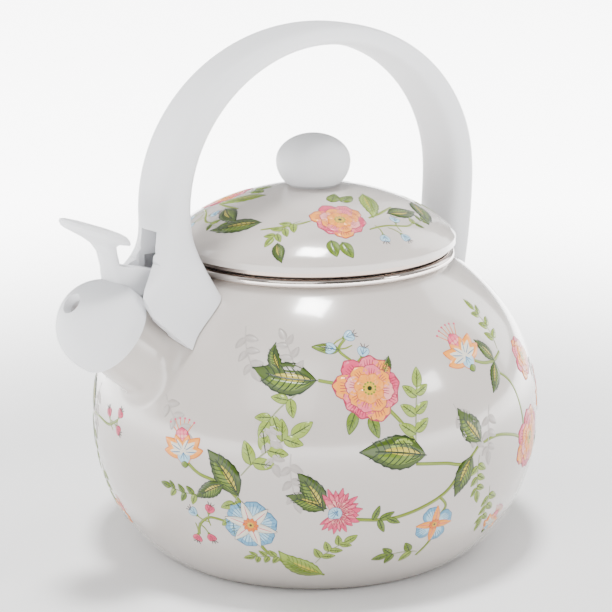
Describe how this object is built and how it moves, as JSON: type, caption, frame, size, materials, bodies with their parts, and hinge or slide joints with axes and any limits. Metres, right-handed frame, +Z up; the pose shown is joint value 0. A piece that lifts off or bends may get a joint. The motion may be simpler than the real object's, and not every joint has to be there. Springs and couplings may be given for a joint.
{
  "type": "stovetop whistling kettle",
  "caption": "Round enamelled stovetop kettle with an arched handle over the lid, a short slanted spout and a hinged whistling cap with a thumb paddle.",
  "frame": {"origin": "centre of the flat base's underside", "axes": "+Z up along the globe's axis, -X towards the spout, the handle arch stands in the XZ plane"},
  "size_m": [0.2308, 0.2, 0.2324],
  "materials": {
    "enamel": "gloss",
    "steel": "satin",
    "bright_steel": "polished",
    "soft_touch": "matte",
    "brass": "satin",
    "silicone": "matte"
  },
  "bodies": {
    "kettle": {"kettle_body": "enamel", "spout": "enamel", "mouth_rim": "bright_steel", "front_bracket": "steel", "rear_bracket": "steel", "handle": "soft_touch", "handle_screws": "steel", "hinge_pin": "steel", "return_spring": "steel"},
    "lid": {"lid_dome": "enamel", "lid_rim": "bright_steel", "lid_collar": "steel", "knob": "soft_touch", "knob_insert": "brass", "knob_gasket": "silicone", "knob_washer": "steel", "knob_screw": "steel"},
    "whistle": {"whistle_cap": "soft_touch", "whistle_plate_front": "brass", "whistle_plate_rear": "brass", "whistle_spacer": "silicone", "whistle_retainer": "soft_touch", "cap_seal": "silicone"}
  },
  "joints": [
    {"name": "lid_lift", "type": "slide", "parent": "kettle", "child": "lid", "axis": [0, 0, 1], "range_m": [0, 0.034]},
    {"name": "whistle_hinge", "type": "hinge", "parent": "kettle", "child": "whistle", "pos_m": [-0.08, 0, 0.131], "axis": [0, 1, 0], "range_deg": [0, 28], "stiffness_Nm_per_rad": 0.02, "springref_deg": -57.3}
  ]
}
